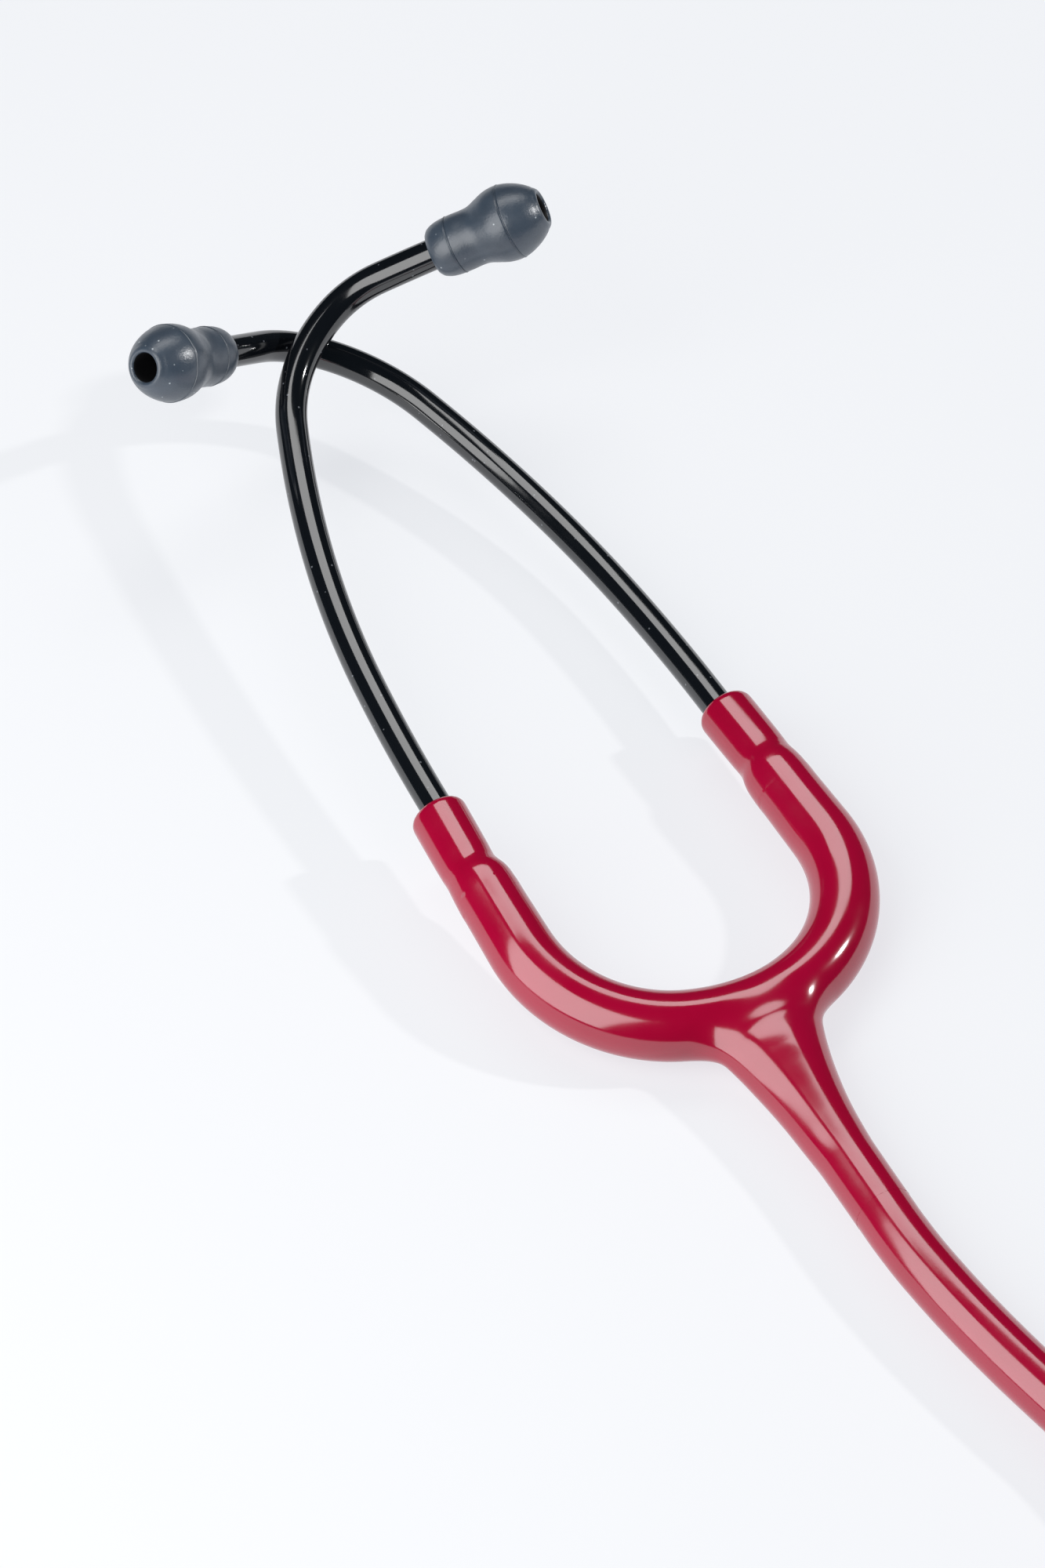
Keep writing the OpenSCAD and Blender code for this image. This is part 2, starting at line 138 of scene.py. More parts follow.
# ---- the yoke's outer surface as a distance field, millimetres, headset coordinates
def curve_at(s, xs, ys):
    """A smooth curve through (xs, ys): cubic Hermite with clamped slopes."""
    s = np.clip(s, xs[0], xs[-1])
    xs, ys = np.asarray(xs, float), np.asarray(ys, float)
    h = np.diff(xs)
    d = np.diff(ys) / h
    m = np.zeros(len(xs))
    for i in range(1, len(xs) - 1):
        m[i] = 0 if d[i - 1] * d[i] <= 0 else 2 * d[i - 1] * d[i] / (d[i - 1] + d[i])
    i = np.clip(np.searchsorted(xs, s, side="right") - 1, 0, len(h) - 1)
    t = (s - xs[i]) / h[i]
    return (ys[i] * (1 + 2 * t) * (1 - t) ** 2 + m[i] * h[i] * t * (1 - t) ** 2
            + ys[i + 1] * t * t * (3 - 2 * t) + m[i + 1] * h[i] * t * t * (t - 1))


# radius along each half, from the middle of the U to the end of the leg
U_RADIUS = ([0, 12, 30, 44, 52, 57, 66], [6.42, 6.42, 6.35, 6.27, 6.12, 6.02, 5.95])
# radius from inside the leg to the mouth, by depth below the mouth: the dent lies where the leg meets the sleeve
NECK = ([-26, -21, -19, -17.6, -16.4, -15.4, -14.2, -12.8, -11, -6, -2.4, 0.5],
        [6.0, 5.97, 5.92, 5.79, 5.57, 5.35, 5.22, 5.24, 5.29, 5.33, 5.34, 5.33])


def half_field(side, p):
    """Distance to one half of the U and its sleeve."""
    l1, l2, a1, a12, c2, s3, d3, r1, r2, leg = bends_of(side)
    q = apply(inverse(half_u(side)), p)
    x, y, z = q[:, 0], q[:, 1], q[:, 2]
    ang1 = np.clip(np.arctan2(x, r1 - y), 0, a1)
    e1 = np.sqrt((x - r1 * np.sin(ang1)) ** 2 + (y - r1 + r1 * np.cos(ang1)) ** 2 + z * z)
    ang2 = np.clip(np.arctan2(x - c2[0], c2[1] - y), a1, a12)
    e2 = np.sqrt((x - c2[0] - r2 * np.sin(ang2)) ** 2 + (y - c2[1] + r2 * np.cos(ang2)) ** 2 + z * z)
    t = np.clip((x - s3[0]) * d3[0] + (y - s3[1]) * d3[1], 0, leg + 1.5)
    e3 = np.sqrt((x - s3[0] - d3[0] * t) ** 2 + (y - s3[1] - d3[1] * t) ** 2 + z * z)
    k = np.argmin(np.stack([e1, e2, e3]), 0)
    e = np.where(k == 0, e1, np.where(k == 1, e2, e3))
    s = np.where(k == 0, ang1 * r1, np.where(k == 1, l1 + (ang2 - a1) * r2, l1 + l2 + t))
    scale = (l1 + l2 + leg) / 63.5
    d = e - curve_at(s / scale, *U_RADIUS)
    # the sleeve: one round body from inside the leg to the mouth, whose axis moves over from the leg's to its own
    back_m = inverse(mouth(side))
    w = apply(back_m, p)
    m = back_m @ half_u(side)
    at = m @ np.array([s3[0], s3[1], 0, 1.0])
    way = m[:3, :3] @ np.array([d3[0], d3[1], 0])
    depth = w[:, 2]
    own_x = -0.55 + 0.03 * np.maximum(depth, -15)
    run = (depth - at[2]) / way[2]
    f = np.clip((-12.5 - depth) / 6.5, 0, 1)
    f = f * f * f * (f * (6 * f - 15) + 10)
    cx = own_x * (1 - f) + (at[0] + run * way[0]) * f
    cy = (at[1] + run * way[1]) * f
    neck = np.hypot(w[:, 0] - cx, w[:, 1] - cy) - curve_at(depth, *NECK)
    neck = smax(neck, depth, 1.5)
    neck = np.maximum(neck, -depth - 22.5)
    d = np.maximum(d, depth + 20.5)
    d = np.where(np.abs(depth + 21.5) < 8, smin(d, neck, 0.12), np.minimum(d, neck))
    bore = np.maximum(np.hypot(w[:, 0], w[:, 1]) - 3.06, -depth - 20)
    return smax(d, -bore, 0.35)


def field(p):
    """Distance to the whole moulding, closest part by closest part."""
    p = np.asarray(p, float)
    d = np.full(len(p), 50.0)
    # the web: an ellipse that narrows from the U to the single tube
    y = p[:, 1]
    half_w = curve_at(-y, [60, 66, 70, 73, 76, 82, 88, 94, 100, 112], [12.6, 12.0, 10.3, 9.3, 8.5, 7.25, 6.35, 5.8, 5.45, 5.4])
    half_h = curve_at(-y, [60, 63, 66, 69, 72, 76, 80, 86, 92, 100, 112], [4.4, 5.15, 5.85, 6.3, 6.36, 6.24, 6.06, 5.82, 5.63, 5.48, 5.4])
    mid_x = curve_at(-y, [60, 70, 82, 94, 112], [1.2, 0.8, 0.3, 0.0, 0.0])
    lift = curve_at(-y, [60, 65, 69, 74, 80], [1.0, 0.95, 0.6, 0.15, 0.0])
    u, v = (p[:, 0] - mid_x) / half_w, (p[:, 2] - half_h - lift) / (half_h - lift)
    r = np.sqrt(u * u + v * v) + 1e-9
    g = np.sqrt((u / half_w) ** 2 + (v / (half_h - lift)) ** 2) / r + 1e-9
    web = (r - 1) / g
    web = np.maximum(web, y + 61.0)
    web = np.maximum(web, -119.0 - y)
    near = np.abs(p[:, 0]) < 26
    for side in (-1, 1):
        m = p[:, 0] * side > -14
        d[m] = np.minimum(d[m], half_field(side, p[m]))
    out = d.copy()
    m = near & (y < -52)
    out[m] = smin(d[m], web[m], 3.4)
    return out


def row(p):
    """Headset coordinates in millimetres to the row frame in metres."""
    return (np.asarray(p, float) - ORIGIN) / 1000.0


def shifted(m):
    """A headset matrix in millimetres as one for the row frame in metres, for points still in millimetres."""
    return move(*(-ORIGIN / 1000)) @ np.diag([0.001, 0.001, 0.001, 1]) @ m


# ---- camera first, then the tube
cam = bpy.data.objects.new("camera", bpy.data.cameras.new("camera"))
cam.data.lens = 206.7
cam.data.sensor_width = 36.0
cam.data.clip_start, cam.data.clip_end = 0.05, 30
cam.location = row((-506.5, -928.1, 1264.0))
cam.rotation_euler = Vector((0.3022, 0.5673, -0.7660)).to_track_quat("-Z", "Y").to_euler()
scene.collection.objects.link(cam)
scene.camera = cam


def mesh_object(name, verts, faces, smooth=True):
    me = bpy.data.meshes.new(name)
    me.from_pydata([tuple(v) for v in verts], [], faces)
    me.validate()
    if smooth:
        me.polygons.foreach_set("use_smooth", [True] * len(me.polygons))
    me.update()
    ob = bpy.data.objects.new(name, me)
    scene.collection.objects.link(ob)
    return ob


def fillet(profile, radii, steps=6):
    """An open outline with its corners rounded. radii is one number, or one for each point."""
    if not isinstance(radii, (list, tuple)):
        radii = [radii] * len(profile)
    out = [tuple(profile[0])]
    for i in range(1, len(profile) - 1):
        a, b, c = (np.array(profile[j], float) for j in (i - 1, i, i + 1))
        u, v = a - b, c - b
        lu, lv = np.linalg.norm(u), np.linalg.norm(v)
        u, v = u / lu, v / lv
        ang = math.acos(float(np.clip(u @ v, -1, 1)))
        if radii[i] <= 0 or ang > 3.1:
            out.append(tuple(b))
            continue
        t = min(radii[i] / math.tan(ang / 2), 0.45 * lu, 0.45 * lv)
        p, q = b + u * t, b + v * t
        for k in range(steps + 1):
            f = k / steps
            w = p * (1 - f) ** 2 + b * 2 * f * (1 - f) + q * f * f
            out.append(tuple(w))
    out.append(tuple(profile[-1]))
    return out


def lathe(name, profile, matrix, steps=96, closed=True):
    """A body of revolution about the matrix's Z: profile is (radius, height) in millimetres."""
    prof = [p for i, p in enumerate(profile) if i == 0 or np.hypot(p[0] - profile[i - 1][0], p[1] - profile[i - 1][1]) > 1e-5]
    verts, faces, ring_of = [], [], []
    for r, z in prof:
        if r < 1e-6:
            ring_of.append([len(verts)] * steps)
            verts.append((0, 0, z))
        else:
            ring_of.append(list(range(len(verts), len(verts) + steps)))
            for k in range(steps):
                a = 2 * math.pi * k / steps
                verts.append((r * math.cos(a), r * math.sin(a), z))
    n = len(prof)
    for i in range(n if closed else n - 1):
        j = (i + 1) % n
        if closed and i == n - 1 and (prof[i][0] < 1e-6 and prof[j][0] < 1e-6):
            continue
        for k in range(steps):
            l = (k + 1) % steps
            f = [ring_of[i][k], ring_of[i][l], ring_of[j][l], ring_of[j][k]]
            g = []
            for v in f:
                if v not in g:
                    g.append(v)
            if len(g) > 2:
                faces.append(g)
    ob = mesh_object(name, apply(shifted(matrix), np.array(verts, float)), faces)
    bm = bmesh.new()
    bm.from_mesh(ob.data)
    bmesh.ops.recalc_face_normals(bm, faces=bm.faces)
    bm.to_mesh(ob.data)
    bm.free()
    sharp_by_angle(ob, 35)
    return ob


def sharp_by_angle(ob, deg):
    bm = bmesh.new()
    bm.from_mesh(ob.data)
    lim = math.radians(deg)
    for e in bm.edges:
        if len(e.link_faces) == 2:
            e.smooth = e.calc_face_angle(0) < lim
    bm.to_mesh(ob.data)
    bm.free()


# the tube's route, as in the CAD source
ROUTE = [(0, -112, 5.4), (0, -118, 5.4), (0.41, -125.99, 5.4), (1.81, -138.33, 5.4), (3.82, -150.59, 5.4),
         (6.31, -162.76, 5.4), (9.01, -174.88, 5.4), (10.02, -187.25, 5.4), (8.86, -199.6, 5.4), (5.72, -211.61, 5.4),
         (2.93, -223.71, 5.4), (1.34, -236.03, 5.4), (1, -248.44, 5.4), (3.29, -260.61, 5.4), (8.74, -271.73, 5.4),
         (16.96, -281, 5.4), (27.35, -287.74, 5.4), (39.16, -291.45, 5.4), (51.54, -291.89, 5.4), (63.59, -289, 5.4),
         (74.42, -283.01, 5.4), (83.27, -274.34, 5.4), (89.48, -263.62, 5.4), (92.61, -251.64, 5.48), (92.43, -239.26, 6.6),
         (90.29, -227.02, 8.49), (88.13, -214.78, 10.46), (85.97, -202.55, 11.79), (83.81, -190.32, 12)]
curve = bpy.data.curves.new("tube", "CURVE")
curve.dimensions = "3D"
curve.bevel_depth = 0.0054
curve.bevel_resolution = 10
curve.resolution_u = 14
curve.use_fill_caps = True
spline = curve.splines.new("BEZIER")
spline.bezier_points.add(len(ROUTE) - 1)
pts = [Vector(row(p)) for p in ROUTE]
for i, bp in enumerate(spline.bezier_points):
    bp.co = pts[i]
    bp.handle_left_type = bp.handle_right_type = "FREE"
    a, b = pts[max(0, i - 1)], pts[min(len(pts) - 1, i + 1)]
    d = (b - a).normalized()
    if i == 0:
        d = Vector((0, -1, 0))
    if i == len(pts) - 1:
        d = Vector((-0.17365, 0.98481, 0))
    before = (pts[i] - pts[i - 1]).length if i else 0.01
    behind = (pts[i + 1] - pts[i]).length if i < len(pts) - 1 else 0.01
    bp.handle_left = pts[i] - d * before / 3
    bp.handle_right = pts[i] + d * behind / 3
tube = bpy.data.objects.new("single_tube", curve)
scene.collection.objects.link(tube)


def gradient(p, h=0.05):
    g = np.zeros_like(p)
    for i in range(3):
        e = np.zeros(3)
        e[i] = h
        g[:, i] = (field(p + e) - field(p - e)) / (2 * h)
    return g


def surface(lo, hi, h):
    """The zero surface of the field in a box, as quads: one point for each cell that it crosses."""
    n = [int(math.ceil((hi[i] - lo[i]) / h)) + 1 for i in range(3)]
    axes = [lo[i] + h * np.arange(n[i]) for i in range(3)]
    grid = np.stack(np.meshgrid(*axes, indexing="ij"), -1).reshape(-1, 3)
    v = np.concatenate([field(c) for c in np.array_split(grid, 8)]).reshape(n)
    inside = v < 0
    corners = [(i, j, k) for i in (0, 1) for j in (0, 1) for k in (0, 1)]
    m = [x - 1 for x in n]
    cut = lambda c: tuple(slice(c[i], c[i] + m[i]) for i in range(3))
    count = sum(inside[cut(c)].astype(int) for c in corners)
    active = (count > 0) & (count < 8)
    index = -np.ones(m, int)
    index[active] = np.arange(active.sum())
    cells = np.argwhere(active)
    total = np.zeros((len(cells), 3))
    hits = np.zeros(len(cells))
    for a in range(8):
        for b in range(a + 1, 8):
            ca, cb = np.array(corners[a]), np.array(corners[b])
            if np.abs(ca - cb).sum() != 1:
                continue
            va = v[tuple((cells + ca).T)]
            vb = v[tuple((cells + cb).T)]
            on = (va < 0) != (vb < 0)
            t = np.where(on, va / np.where(on, va - vb, 1), 0)
            total[on] += (ca + (cb - ca) * t[:, None])[on]
            hits[on] += 1
    points = np.array(lo) + h * (cells + total / hits[:, None])
    faces = []
    for ax in range(3):
        o = [i for i in range(3) if i != ax]
        s0 = [slice(None)] * 3
        s1 = [slice(None)] * 3
        s0[ax], s1[ax] = slice(0, n[ax] - 1), slice(1, n[ax])
        a, b = inside[tuple(s0)], inside[tuple(s1)]
        edge = np.argwhere(a != b)
        keep = (edge[:, o[0]] > 0) & (edge[:, o[1]] > 0) & (edge[:, o[0]] < m[o[0]]) & (edge[:, o[1]] < m[o[1]])
        edge = edge[keep]
        first = a[tuple(edge.T)]
        d0, d1 = np.zeros(3, int), np.zeros(3, int)
        d0[o[0]], d1[o[1]] = 1, 1
        q = np.stack([index[tuple((edge - d0 - d1).T)], index[tuple((edge - d1).T)], index[tuple(edge.T)],
                      index[tuple((edge - d0).T)]], 1)
        flip = first if ax != 1 else ~first
        q[~flip] = q[~flip][:, ::-1]
        faces.append(q)
    faces = np.concatenate(faces)
    for _ in range(4):
        g = gradient(points)
        step = (field(points) / np.maximum((g * g).sum(1), 0.25))[:, None] * g
        size = np.linalg.norm(step, axis=1, keepdims=True)
        points = points - step * np.minimum(1, 0.3 / np.maximum(size, 1e-9))
    return points, faces


STEP = 0.62
points, faces = surface((-38.3, -114.6, -0.7), (38.9, 1.3, 20.1), STEP)
bm = bmesh.new()
for p in points:
    bm.verts.new(p)
bm.verts.ensure_lookup_table()
for f in faces:
    bm.faces.new([bm.verts[i] for i in f])
for co, no in (((-13.5, 0, 0), (1, 0, 0)), ((13.5, 0, 0), (1, 0, 0))):
    bmesh.ops.bisect_plane(bm, geom=bm.verts[:] + bm.edges[:] + bm.faces[:], plane_co=co, plane_no=no, dist=1e-5)
bmesh.ops.bisect_plane(bm, geom=bm.verts[:] + bm.edges[:] + bm.faces[:], plane_co=(0, -112, 0), plane_no=(0, -1, 0), dist=1e-5, clear_outer=True)
whole = bpy.data.meshes.new("yoke_whole")
bm.to_mesh(whole)
bm.free()
co = np.array([v.co for v in whole.vertices], float).reshape(-1, 3)
normal = gradient(co)
normal /= np.maximum(np.linalg.norm(normal, axis=1, keepdims=True), 1e-9)


def yoke_piece(name, keep):
    """The faces whose middle keep() accepts, closed at the cuts, with the field's own normals."""
    quads = [tuple(p.vertices) for p in whole.polygons if keep(co[list(p.vertices)].mean(0))]
    used = sorted({i for q in quads for i in q})
    at = {v: k for k, v in enumerate(used)}
    bm = bmesh.new()
    for i in used:
        bm.verts.new(row(co[i]))
    bm.verts.ensure_lookup_table()
    for q in quads:
        bm.faces.new([bm.verts[at[i]] for i in q]).smooth = True
    bmesh.ops.recalc_face_normals(bm, faces=bm.faces)
    open_edges = [e for e in bm.edges if len(e.link_faces) == 1]
    made = bmesh.ops.holes_fill(bm, edges=open_edges, sides=0)["faces"]
    for f in made:
        f.smooth = False
    bm.normal_update()
    me = bpy.data.meshes.new(name)
    bm.to_mesh(me)
    bm.free()
    own = normal[used]
    loops = np.zeros((len(me.loops), 3))
    for p in me.polygons:
        flat = not p.use_smooth
        for l in p.loop_indices:
            loops[l] = p.normal if flat else own[me.loops[l].vertex_index]
    me.polygons.foreach_set("use_smooth", [True] * len(me.polygons))
    me.normals_split_custom_set([tuple(x) for x in loops])
    ob = bpy.data.objects.new(name, me)
    scene.collection.objects.link(ob)
    return ob


web = yoke_piece("yoke_web", lambda c: abs(c[0]) <= 13.5)
left_leg = yoke_piece("yoke_left_arm", lambda c: c[0] < -13.5)
right_leg = yoke_piece("yoke_right_arm", lambda c: c[0] > 13.5)
bpy.data.meshes.remove(whole)


# ---- ear tubes: a swept round wall, open at both ends
def swept_tube(name, side, ro=3.0, ri=2.4, sides=48):
    base = turned(side)
    frames = [base @ move(0, 0, z) for z in np.linspace(-26, 0, 14)[:-1]]
    for i, (_, bend, length) in enumerate(BENDS):
        steps = max(6, int(length / 0.9))
        frames += [after(base, i + 1, k / steps) for k in range(steps)]
    end = after(base, 5)
    frames += [end @ move(0, 0, z) for z in np.linspace(0, 10, 6)]
    # carry one seam direction along, so that the rings don't turn against each other
    verts, prev = [], None
    rings = []
    for f in frames:
        t = f[:3, 2] / np.linalg.norm(f[:3, 2])
        u = f[:3, 0] if prev is None else prev
        u = u - t * (u @ t)
        u /= np.linalg.norm(u)
        prev = u
        rings.append((f[:3, 3], u, np.cross(t, u), t))

    def ring(r, item, push=0.0):
        c, u, w, t = item
        return [c + t * push + r * (math.cos(2 * math.pi * k / sides) * u + math.sin(2 * math.pi * k / sides) * w) for k in range(sides)]

    loops = [ring(ro, it) for it in rings[:-1]]
    last = rings[-1]
    loops += [ring(ro, last, -0.18), ring(ro - 0.05, last, -0.06), ring(ro - 0.18, last), ring(ri + 0.1, last), ring(ri, last, -0.12)]
    loops += [ring(ri, it) for it in rings[:-1][::-1]]
    verts = [v for l in loops for v in l]
    n = len(loops)
    faces = [[i * sides + k, i * sides + (k + 1) % sides, ((i + 1) % n) * sides + (k + 1) % sides, ((i + 1) % n) * sides + k]
             for i in range(n) for k in range(sides)]
    ob = mesh_object(name, row(np.array(verts)), faces)
    bm = bmesh.new()
    bm.from_mesh(ob.data)
    bmesh.ops.recalc_face_normals(bm, faces=bm.faces)
    bm.to_mesh(ob.data)
    bm.free()
    sharp_by_angle(ob, 50)
    return ob


left_tube = swept_tube("left_tube_bent", -1)
right_tube = swept_tube("right_tube_bent", 1)

# ---- ear tips: soft bulb, waist and rounded base, with fine moulding lines and a rimmed sound hole
TIP = [(4.1, 0), (4.55, 0.35), (4.9, 0.9), (5.22, 1.7), (5.46, 2.8), (5.58, 4.2), (5.6, 6), (5.55, 7.6), (5.6, 8.8), (5.8, 9.7),
       (6.15, 10.6), (6.5, 11.5), (6.85, 12.4), (7.1, 13.3), (7.25, 14.3), (7.3, 15.1), (7.25, 16), (7.08, 16.9), (6.8, 17.8),
       (6.4, 18.8), (5.9, 19.8), (5.25, 20.8), (4.6, 21.6), (4.05, 22.2)]


def tip_outline():
    """Dense outline of the ear tip, base to mouth, with two hair-fine moulding lines."""
    r, z = np.array(TIP).T
    s = np.concatenate([[0], np.cumsum(np.hypot(np.diff(r), np.diff(z)))])
    want = sorted(set(np.linspace(0, s[-1], 70).round(3)) | {round(c + o, 3) for c in (4.9, 16.6) for o in (-0.2, -0.1, -0.04, 0, 0.04, 0.1, 0.2)})
    rr = curve_at(np.array(want), s, r)
    zz = np.interp(want, s, z)
    for c in (4.9, 16.6):
        gap = np.abs(np.array(want) - c)
        rr = rr + np.where(gap < 0.05, 0.09, 0) - np.where((gap > 0.07) & (gap < 0.13), 0.05, 0)
    return list(zip(rr, zz))


def ear_tip(name, side):
    out = tip_outline()
    # rounded rim, funnel-shaped hole, then the socket for the tube
    rim = [(3.72, 22.52), (3.45, 22.66), (3.2, 22.68), (2.95, 22.55), (2.78, 22.3), (2.7, 21.9), (2.66, 21.2), (2.62, 19),
           (2.6, 14.1), (3.06, 14.0), (3.06, 0.5), (3.15, 0.15), (3.4, 0)]
    return lathe(name, out + rim, after(turned(side), 5), steps=128)


left_tip = ear_tip("left_tip_soft", -1)
right_tip = ear_tip("right_tip_soft", 1)
# the sound hole's wall is painted near-black: painted shade for the dark recess of the hole, not the silicone's own
# colour
inward = np.linalg.inv(shifted(after(turned(-1), 5)))
PAINTED_SHADE_BORE_FACES = []
for f in left_tip.data.polygons:
    c = apply(inward, np.array([list(f.center)]))[0]
    PAINTED_SHADE_BORE_FACES.append(1 if math.hypot(c[0], c[1]) < 2.74 and c[2] > 14 else 0)


# ---- the spring leaf, bent with the U so that it follows the arms
def leaf_half(name, side):
    l1, l2, a1, a12, c2, s3, d3, r1, r2, leg = bends_of(side)
    total = l1 + l2 + leg - 2.4
    n = 70
    verts = []
    for k in range(n + 1):
        s = total * k / n
        c = centre(side, [s])[0]
        e = centre(side, [s + 0.05])[0]
        t = (e - c) / np.linalg.norm(e - c)
        up = half_u(side)[:3, 2]
        inner = np.cross(up, t) * side
        inner /= np.linalg.norm(inner)
        for a, b in ((-0.3, -1.5), (0.3, -1.5), (0.3, 1.5), (-0.3, 1.5)):
            verts.append(c + inner * (5.1 + a) + up * b)
    faces = [[0, 1, 2, 3], [4 * n + 3, 4 * n + 2, 4 * n + 1, 4 * n]]
    faces += [[4 * k + i, 4 * k + (i + 1) % 4, 4 * k + 4 + (i + 1) % 4, 4 * k + 4 + i] for k in range(n) for i in range(4)]
    ob = mesh_object(name, row(np.array(verts)), faces, smooth=False)
    bm = bmesh.new()
    bm.from_mesh(ob.data)
    bmesh.ops.recalc_face_normals(bm, faces=bm.faces)
    bm.to_mesh(ob.data)
    bm.free()
    return ob


left_leaf = leaf_half("left_leaf", -1)
right_leaf = leaf_half("right_leaf", 1)

# ---- chestpiece, with most corners rounded
CHEST = move(76, -146, 0) @ rot("z", 100)
STEM = CHEST @ move(0, 0, 12) @ rot("y", -90)

cup = fillet([(2.6, 3.4), (18.8, 1.5), (18.8, 0.97), (20.6, 0.97), (20.6, 3.4), (19.4, 3.9), (18.6, 5.2), (15, 6.6), (11.2, 8), (9.2, 9.8),
              (8.6, 12), (9, 14.6), (10.4, 16.6), (12.8, 18.1), (14.2, 18.9), (14.4, 19.4), (15.2, 19.8), (15.2, 21.88), (13.6, 21.88), (13.6, 21.3), (2.4, 19.8), (1.5, 19.7), (1.5, 3.5)],
             [0, 0.1, 0.1, 0.2, 0.3, 0.6, 1.2, 3, 3, 3, 3, 3, 2.5, 1.5, 0.3, 0.2, 0.3, 0.2, 0.1, 0.1, 0.1, 0.1, 0])
chest_body = lathe("chest_body", cup, CHEST, steps=160)
boss = fillet([(4.05, 3.2), (6.6, 3.2), (6.6, 15.4), (6.2, 16), (5.15, 16), (5.1, 14.4), (4.05, 14.4)], [0, 0.1, 0.5, 0.3, 0.1, 0.05, 0])
chest_boss = lathe("chest_boss", boss, STEM, steps=96)
stem = fillet([(1.5, -4.4), (3.6, -4.4), (4, -4), (4, 17.5), (5, 17.5), (5.3, 17.9), (5.3, 20.6), (5, 21), (4.4, 21.6), (4.1, 23), (4.1, 38.5),
               (4.6, 40.2), (5.2, 41.4), (5.4, 42), (5.4, 44.98), (2.3, 44.98), (2.3, 47), (2.8, 47.2), (2.3, 50), (2.3, 51), (2.8, 51.2),
               (2.3, 54), (2.2, 58), (1.5, 58)],
              [0, 0.1, 0.1, 0.2, 0.25, 0.25, 0.25, 0.3, 0.8, 1, 1.5, 1, 0.5, 0.3, 0.3, 0, 0, 0, 0, 0, 0, 0, 0, 0])
stem_body = lathe("stem_body", stem, STEM, steps=96)
rim_a = fillet([(19, 0), (22.2, 0), (22.2, 4.4), (19.7, 4.4), (19.7, 3.95), (20.65, 3.45), (20.65, 0.52), (19, 0.5)],
               [0.3, 1.0, 1.2, 0.4, 0.1, 0.1, 0.05, 0.2])
adult_ring = lathe("adult_ring", rim_a[1:-1] + [(19, 0.5), (19, 0.1), (19.1, 0)], CHEST, steps=160)
rim_p = fillet([(13.8, 22.85), (16.8, 22.85), (16.8, 18.6), (14.6, 18.6), (14.6, 19.3), (15.25, 19.75), (15.25, 22.36), (13.8, 22.38)],
               [0.3, 1.0, 1.1, 0.4, 0.1, 0.1, 0.05, 0.2])
small_ring = lathe("small_ring", rim_p[1:-1] + [(13.8, 22.38), (13.8, 22.75), (13.9, 22.85)], CHEST, steps=160)
film_a = lathe("adult_film", fillet([(0, 0.1), (18.15, 0.1), (18.6, 0.53), (20.5, 0.53), (20.5, 0.93), (18.35, 0.93), (17.9, 0.5), (0, 0.5)],
               [0, 0.35, 0.3, 0.05, 0.05, 0.2, 0.3, 0]), CHEST, steps=160, closed=False)
film_p = lathe("small_film", fillet([(0, 22.35), (12.65, 22.35), (13.1, 21.93), (15.1, 21.93), (15.1, 22.33), (13.4, 22.33), (13, 22.75), (0, 22.75)],
               [0, 0.3, 0.3, 0.05, 0.05, 0.3, 0.35, 0]), CHEST, steps=160, closed=False)


# ---- materials
def material(name, base, rough, coat=0.0, metal=0.0, ior=1.5, sheen=0.0, spec=0.5):
    m = bpy.data.materials.new(name)
    m.use_nodes = True
    nt = m.node_tree
    b = nt.nodes["Principled BSDF"]
    b.inputs["Base Color"].default_value = (*base, 1)
    b.inputs["Roughness"].default_value = rough
    b.inputs["Metallic"].default_value = metal
    b.inputs["IOR"].default_value = ior
    b.inputs["Coat Weight"].default_value = coat
    b.inputs["Coat Roughness"].default_value = 0.04
    b.inputs["Sheen Weight"].default_value = sheen
    b.inputs["Specular IOR Level"].default_value = spec
    return m, nt, b


def node(nt, kind, **values):
    n = nt.nodes.new(kind)
    for k, v in values.items():
        if k in n.inputs:
            n.inputs[k].default_value = v
        else:
            setattr(n, k, v)
    return n


def noise(nt, scale, detail=3.0, rough=0.5, w=None):
    co = node(nt, "ShaderNodeTexCoord")
    n = node(nt, "ShaderNodeTexNoise")
    n.inputs["Scale"].default_value = scale
    n.inputs["Detail"].default_value = detail
    n.inputs["Roughness"].default_value = rough
    nt.links.new(co.outputs["Object"], n.inputs["Vector"])
    return n


def ramp(nt, source, lo, hi, a, b):
    r = node(nt, "ShaderNodeMapRange")
    r.inputs["From Min"].default_value, r.inputs["From Max"].default_value = lo, hi
    r.inputs["To Min"].default_value, r.inputs["To Max"].default_value = a, b
    nt.links.new(source, r.inputs["Value"])
    return r.outputs["Result"]


def mixed(nt, fac, a, b):
    x = node(nt, "ShaderNodeMix", data_type="RGBA")
    x.inputs["A"].default_value, x.inputs["B"].default_value = (*a, 1), (*b, 1)
    nt.links.new(fac, x.inputs["Factor"])
    return x.outputs["Result"]


def bump(nt, bsdf, parts, distance=0.001):
    """Adds height sources, each (socket, strength, distance in metres), one after another."""
    last = None
    for socket, strength, dist in parts:
        n = node(nt, "ShaderNodeBump")
        n.inputs["Strength"].default_value = strength
        n.inputs["Distance"].default_value = dist
        nt.links.new(socket, n.inputs["Height"])
        if last:
            nt.links.new(last, n.inputs["Normal"])
        last = n.outputs["Normal"]
    nt.links.new(last, bsdf.inputs["Normal"])
    return last


def specks(nt, scale, size):
    """Small round dots, 1 inside a dot: dust or grain."""
    co = node(nt, "ShaderNodeTexCoord")
    v = node(nt, "ShaderNodeTexVoronoi", feature="F1")
    v.inputs["Scale"].default_value = scale
    v.inputs["Randomness"].default_value = 1.0
    nt.links.new(co.outputs["Object"], v.inputs["Vector"])
    return ramp(nt, v.outputs["Distance"], size, size * 0.5, 0.0, 1.0)


